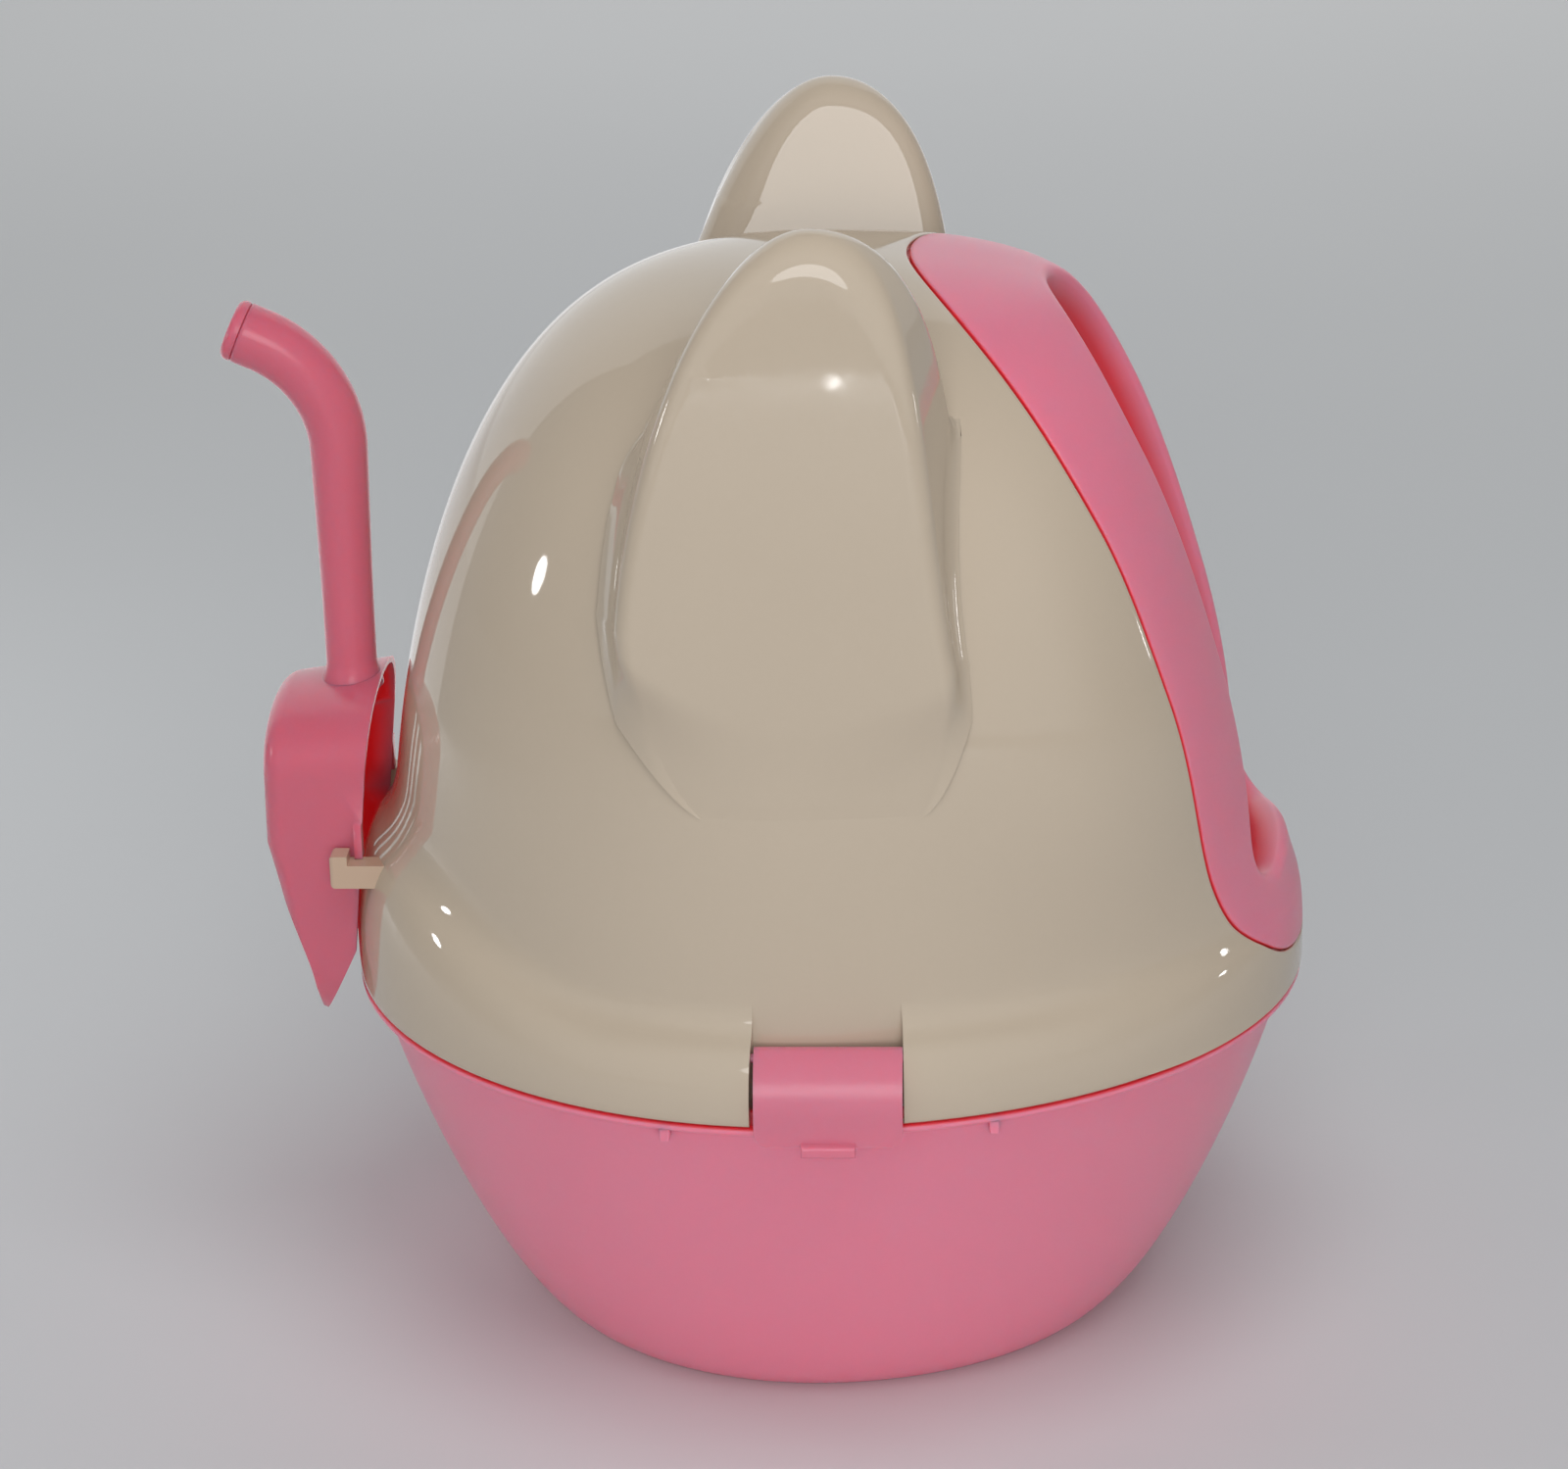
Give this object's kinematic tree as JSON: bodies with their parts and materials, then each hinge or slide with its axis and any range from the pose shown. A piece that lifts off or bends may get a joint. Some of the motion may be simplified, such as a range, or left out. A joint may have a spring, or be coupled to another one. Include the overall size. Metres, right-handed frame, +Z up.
{
  "type": "hooded cat litter box",
  "caption": "Egg-shaped cat litter tray under a domed hood with ears, an open front entrance panel, side latches and a litter scoop on hooks at the back.",
  "frame": {"origin": "on the floor, in the flat bottom of the tray, under the middle of the rim's length", "axes": "+X towards the entrance, +Y to the left side, +Z up"},
  "size_m": [0.444, 0.3796, 0.4968],
  "materials": {
    "tray_plastic": "satin pink polypropylene",
    "hood_plastic": "high-gloss cream",
    "panel_plastic": "satin pink",
    "latch_plastic": "semi-gloss pink",
    "scoop_plastic": "semi-gloss pink",
    "hook_plastic": "gloss beige"
  },
  "bodies": {
    "tray": {"base_tray": "tray_plastic"},
    "hood": {"hood": "hood_plastic", "front_panel": "panel_plastic", "scoop_hook_left": "hook_plastic", "scoop_hook_right": "hook_plastic"},
    "latch_left": {"latch_left": "latch_plastic"},
    "latch_right": {"latch_right": "latch_plastic"},
    "scoop": {"scoop_pan": "scoop_plastic", "scoop_handle": "scoop_plastic", "scoop_handle_cap": "scoop_plastic"}
  },
  "joints": [
    {"name": "hood_lift", "type": "slide", "parent": "tray", "child": "hood", "axis": [0, 0, 1], "range_m": [0, 0.35]},
    {"name": "latch_left_swing", "type": "hinge", "parent": "hood", "child": "latch_left", "pos_m": [0.005, 0.1705, 0.178], "axis": [1, 0, 0], "range_deg": [0, 90]},
    {"name": "latch_right_swing", "type": "hinge", "parent": "hood", "child": "latch_right", "pos_m": [0.005, -0.1705, 0.178], "axis": [-1, 0, 0], "range_deg": [0, 90]},
    {"name": "scoop_lift", "type": "slide", "parent": "hood", "child": "scoop", "axis": [0, 0, 1], "range_m": [0, 0.2]}
  ]
}
